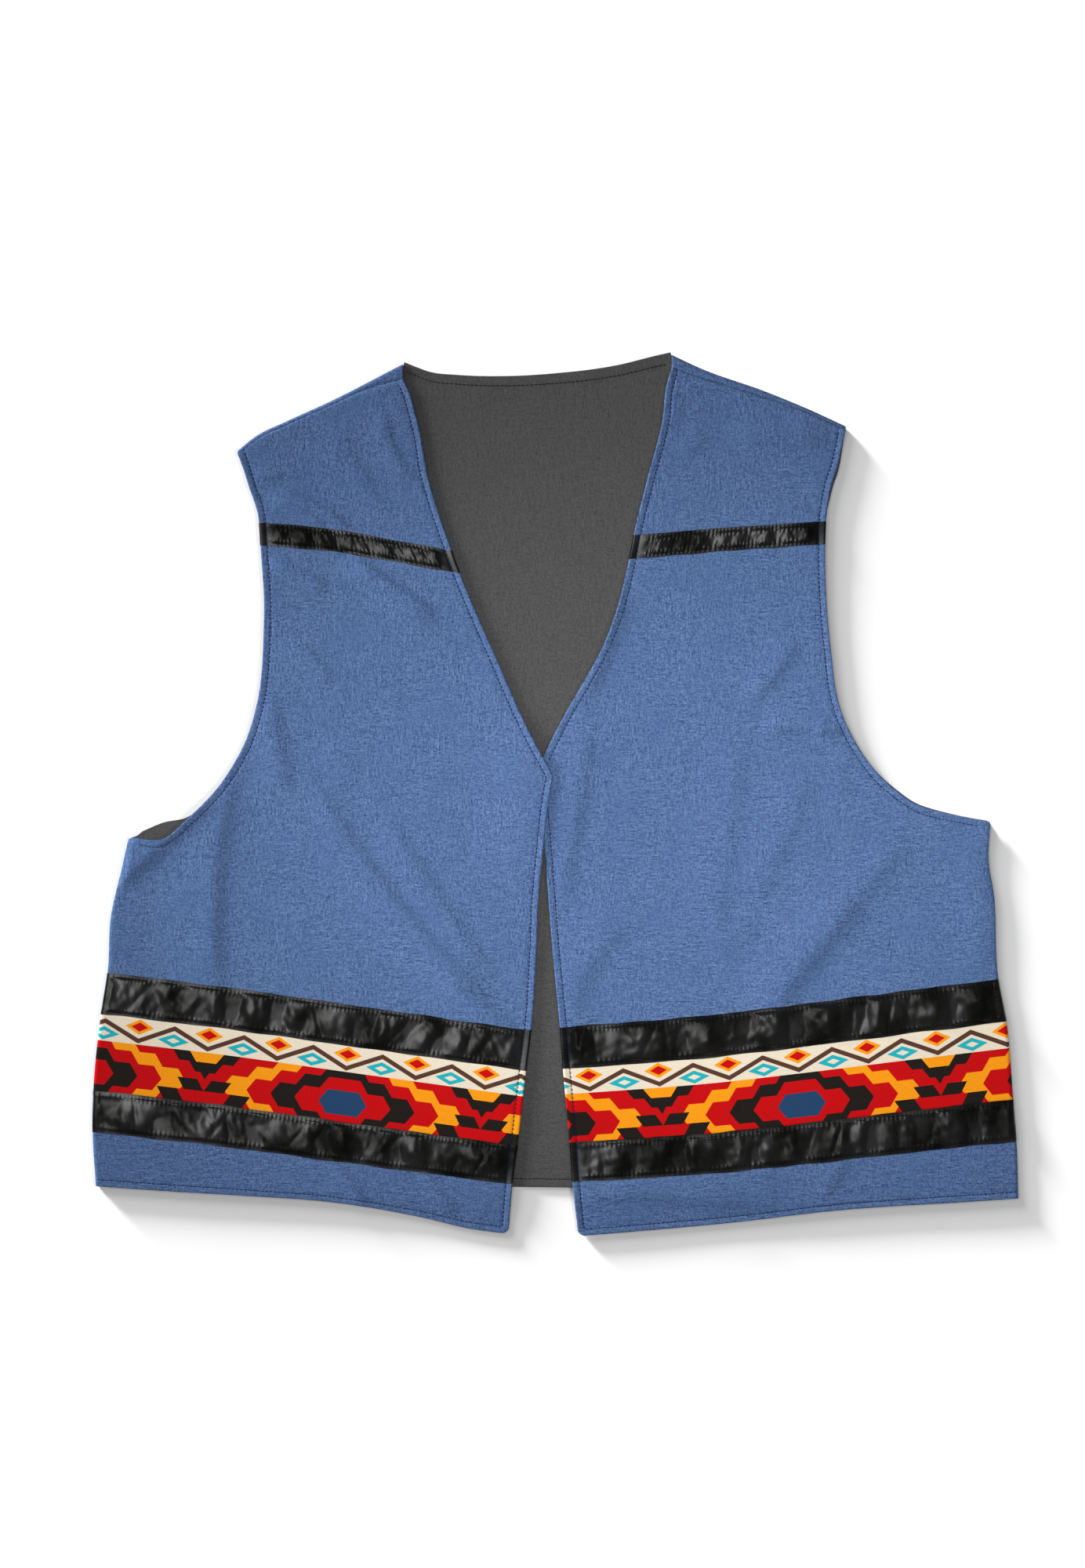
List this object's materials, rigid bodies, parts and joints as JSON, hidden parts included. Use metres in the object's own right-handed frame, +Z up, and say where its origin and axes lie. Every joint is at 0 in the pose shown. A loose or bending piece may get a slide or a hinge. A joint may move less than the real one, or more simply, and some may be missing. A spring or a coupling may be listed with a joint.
{
  "type": "ribbon vest",
  "caption": "Open-front lined sleeveless vest laid flat, blue chambray with black satin ribbons across the chest and a printed band between wide ribbons above the hem.",
  "frame": {"origin": "middle of the vest's outline, on the surface the back lies on", "axes": "+X towards the wearer's left side, +Y from the hem to the neck, +Z up from the surface through the back to the fronts"},
  "size_m": [0.6486, 0.6182, 0.0075],
  "materials": {
    "chambray": "matte plain weave",
    "lining": "matte smooth",
    "satin_ribbon": "satin",
    "printed_cotton": "matte print"
  },
  "bodies": {
    "root": {"back_shell": "chambray", "back_lining": "lining", "front_shell_right": "chambray", "front_lining_right": "lining", "chest_ribbon_right": "satin_ribbon", "upper_ribbon_right": "satin_ribbon", "lower_ribbon_right": "satin_ribbon", "print_band_right": "printed_cotton", "front_shell_left": "chambray", "front_lining_left": "lining", "chest_ribbon_left": "satin_ribbon", "upper_ribbon_left": "satin_ribbon", "lower_ribbon_left": "satin_ribbon", "print_band_left": "printed_cotton"}
  },
  "joints": []
}
